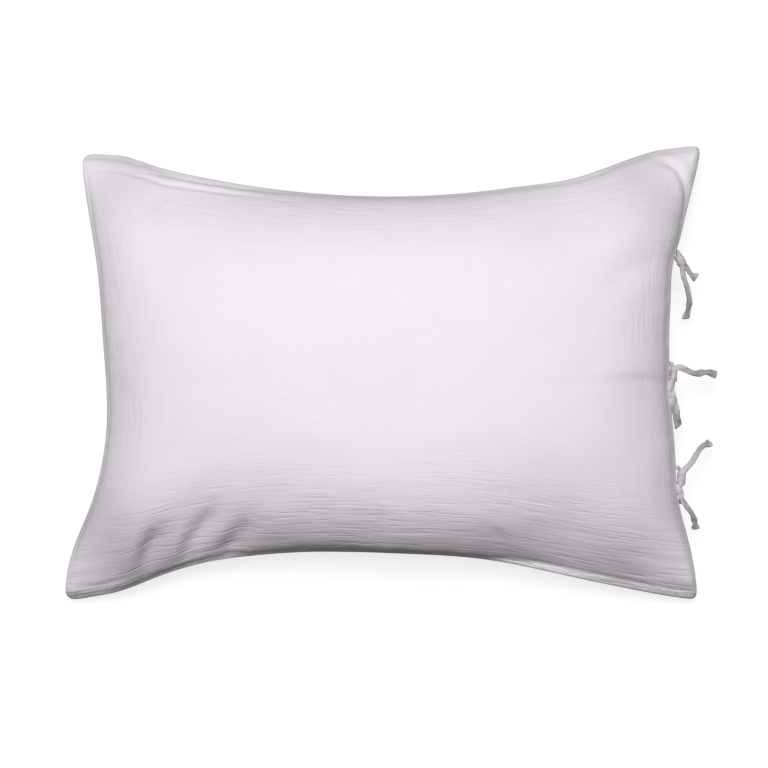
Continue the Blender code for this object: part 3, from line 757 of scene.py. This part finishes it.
def build_tie(name, pair, strip_name, seed):
    """One strip: rings pushed along its route, folded flat where it is free, its end open."""
    strip = pair[strip_name]
    turn_wide, turn_thick = pair["turn_size"]
    route, marks, knot_start, knot_end = tie_route(pair, strip_name)
    total = marks[-1]
    tie_bm = bmesh.new()
    ring = bmesh.ops.create_circle(tie_bm, segments=RING_POINTS, radius=1.0)["verts"]
    edges = tie_bm.edges[:]
    ways = [(b - a).normalized() for a, b in zip(route, route[1:])]
    ways.append(ways[-1])
    wides = [ways[-1].cross(Vector((0.0, 0.0, 1.0))).normalized()]
    for way in reversed(ways[:-1]):
        wides.append((wides[-1] - way * wides[-1].dot(way)).normalized())
    wides.reverse()
    axis = Vector(pair["axis"]).normalized()
    wides = knot_frames(wides, ways, marks, knot_start, knot_end, axis)
    crumple = np.random.default_rng(seed).uniform(-1.0, 1.0, (6, CRUMPLE_MARKS))
    all_rings = []
    for index, (place, way, wide_way, mark) in enumerate(zip(route, ways, wides, marks)):
        if index:
            grown = bmesh.ops.extrude_edge_only(tie_bm, edges=edges)["geom"]
            ring = [item for item in grown if isinstance(item, bmesh.types.BMVert)]
            edges = [item for item in grown if isinstance(item, bmesh.types.BMEdge)
                     and item.is_boundary]
        free = min(1.0, max(0.0, (mark - knot_end + KNOT_EASE) / FREE_RUN))
        free *= free * (3.0 - 2.0 * free)
        turned = min(1.0, max(0.0, (mark - knot_start) / ROOT_EASE)) * (1.0 - free)
        to_end = max(0.0, 1.0 - (total - mark) / END_RUN)
        broad = [np.interp(mark / BROAD_CRUMPLE, range(CRUMPLE_MARKS), row)
                 for row in crumple[:3]]
        fine = [np.interp(mark / FINE_CRUMPLE, range(CRUMPLE_MARKS), row) for row in crumple[3:]]
        bound_wide = blend(TIE_AT_HEM, turn_wide, turned) * (1.0 + 0.10 * broad[0])
        bound_thick = blend(TIE_AT_HEM, turn_thick, turned) * (1.0 + 0.10 * broad[1])
        free_wide = 1.0 + 0.10 * broad[0] + END_FLARE * to_end ** 1.5
        free_wide *= TIE_WIDTH * strip["width"]
        for before_end, wider in strip["lumps"]:
            free_wide *= 1.0 + wider * math.exp(-((total - mark - before_end) / LUMP_REACH) ** 2)
        half_wide = blend(bound_wide, free_wide, free) / 2.0
        half_thick = blend(bound_thick, TIE_THICKNESS * (1.0 + 0.15 * broad[1]), free) / 2.0
        half_thick *= 1.0 + 0.25 * to_end
        roll = free * 0.8 * broad[2]
        thick_way = way.cross(wide_way)
        across_way = wide_way * math.cos(roll) + thick_way * math.sin(roll)
        up_way = thick_way * math.cos(roll) - wide_way * math.sin(roll)
        for number, vert in enumerate(ring):
            angle = 2.0 * math.pi * number / RING_POINTS
            flat_c, flat_s = math.cos(angle), math.sin(angle)
            flat_c = math.copysign(abs(flat_c) ** blend(1.0, 0.85, free), flat_c)
            flat_s = math.copysign(abs(flat_s) ** blend(1.0, 0.60, free), flat_s)
            groove = sum(deep * math.exp(-((angle - at - wander * broad[which]) / wide) ** 2)
                         for at, wander, which, wide, deep in GROOVES)
            ripple = 1.0 + 0.06 * math.sin(3.0 * angle + 4.0 * fine[0]) + 0.07 * fine[1]
            pressed = ripple * (1.0 - blend(0.12, 0.50 - 0.30 * to_end, free) * groove)
            vert.co = (place + across_way * (flat_c * half_wide * blend(ripple, 1.0, 0.4))
                       + up_way * (flat_s * half_thick * pressed))
        all_rings.append(ring)
    bmesh.ops.contextual_create(tie_bm, geom=all_rings[0])
    open_end = bmesh.ops.contextual_create(tie_bm, geom=all_rings[-1])["faces"]
    for narrower, deeper in ((0.70, 0.0), (0.85, OPEN_END_DEPTH)):
        inner = bmesh.ops.extrude_face_region(tie_bm, geom=open_end)["geom"]
        bmesh.ops.delete(tie_bm, geom=[face for face in open_end if face.is_valid],
                         context="FACES_ONLY")
        open_end = [item for item in inner if isinstance(item, bmesh.types.BMFace)]
        inner = [item for item in inner if isinstance(item, bmesh.types.BMVert)]
        bmesh.ops.scale(tie_bm, vec=(narrower, narrower, narrower), verts=inner,
                        space=Matrix.Translation(-route[-1]))
        bmesh.ops.translate(tie_bm, verts=inner, vec=-ways[-1] * deeper)
    bmesh.ops.recalc_face_normals(tie_bm, faces=tie_bm.faces[:])
    uv = tie_bm.loops.layers.uv.new("Threads")
    ring_of = {vert: (mark, number) for verts, mark in zip(all_rings, marks)
               for number, vert in enumerate(verts)}
    around = 2.0 * (TIE_WIDTH + TIE_THICKNESS)  # of cloth round the folded strip
    for face in tie_bm.faces:
        numbers = [ring_of.get(vert, (total, 0))[1] for vert in face.verts]
        wraps = max(numbers) - min(numbers) > RING_POINTS / 2
        for loop in face.loops:
            mark, number = ring_of.get(loop.vert, (total, 0))
            number += RING_POINTS if wraps and number < RING_POINTS / 2 else 0
            loop[uv].uv = (mark, number / RING_POINTS * around)
    mesh = bpy.data.meshes.new(name)
    tie_bm.to_mesh(mesh)
    tie_bm.free()
    mesh.shade_smooth()
    mesh.materials.append(shaded_tie_gauze)
    tie = bpy.data.objects.new(name, mesh)
    bpy.context.scene.collection.objects.link(tie)
    return tie, route, total


# Painted shade: the ties are the same gauze as the case but coloured much darker, standing in for
# the shade they lie in.
shaded_tie_gauze = gauze_material("shaded_tie_gauze", (0.62, 0.585, 0.62, 1.0), (0.37, 0.34, 0.37, 1.0),
                           (1.0, 0.5), 0.10, 0.0007)
for pair_number, (pair_name, pair) in enumerate(TIE_PAIRS.items()):
    for strip_number, strip in enumerate(("front", "back")):
        tie_name = "tie_%s_%s_strip" % (pair_name, strip)
        tie, route, length = build_tie(tie_name, pair, strip, 50 + pair_number * 2 + strip_number)
        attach(tie, "root")
        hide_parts("tie_%s_%s" % (pair_name, strip))

# ---- Floor and light ------------------------------------------------------------------------
# A plain white studio floor that glows a little, so that shadows on it stay faint. The main
# light comes from beyond the top edge, so the bottom edge turns into shade.

FLOOR_DROP = 0.0008  # below the face it lies on, so that the two never share a plane
floor_bm = bmesh.new()
bmesh.ops.create_grid(floor_bm, x_segments=1, y_segments=1, size=4.0)
floor_mesh = bpy.data.meshes.new("floor")
floor_bm.to_mesh(floor_mesh)
floor_bm.free()
floor = bpy.data.objects.new("floor", floor_mesh)
floor.location.z = -FLOOR_DROP
floor.visible_diffuse = False  # black flags keep its light off the cloth
bpy.context.scene.collection.objects.link(floor)
floor_material = bpy.data.materials.new("floor")
floor_material.use_nodes = True
floor_shader = floor_material.node_tree.nodes["Principled BSDF"]
floor_shader.inputs["Base Color"].default_value = (0.22, 0.22, 0.22, 1.0)
floor_shader.inputs["Emission Color"].default_value = (1.0, 1.0, 1.0, 1.0)
floor_shader.inputs["Emission Strength"].default_value = 0.80
floor_shader.inputs["Roughness"].default_value = 1.0
floor_shader.inputs["Specular IOR Level"].default_value = 0.0
floor_mesh.materials.append(floor_material)

KEY_DIRECTION = (-0.07, 0.27, 1.0)  # towards the light
key_data = bpy.data.lights.new("key", "SUN")
key_data.energy = 3.2
key_data.angle = math.radians(24.0)
key = bpy.data.objects.new("key", key_data)
key.location = Vector(KEY_DIRECTION) * 3.0
key.rotation_euler = Vector(KEY_DIRECTION).to_track_quat("Z", "Y").to_euler()
bpy.context.scene.collection.objects.link(key)

world = bpy.data.worlds.new("studio")
world.use_nodes = True
world.node_tree.nodes["Background"].inputs["Color"].default_value = (1.0, 0.84, 0.98, 1.0)
world.node_tree.nodes["Background"].inputs["Strength"].default_value = 0.06
bpy.context.scene.world = world
bpy.context.scene.view_settings.view_transform = "Standard"

bpy.context.view_layer.update()
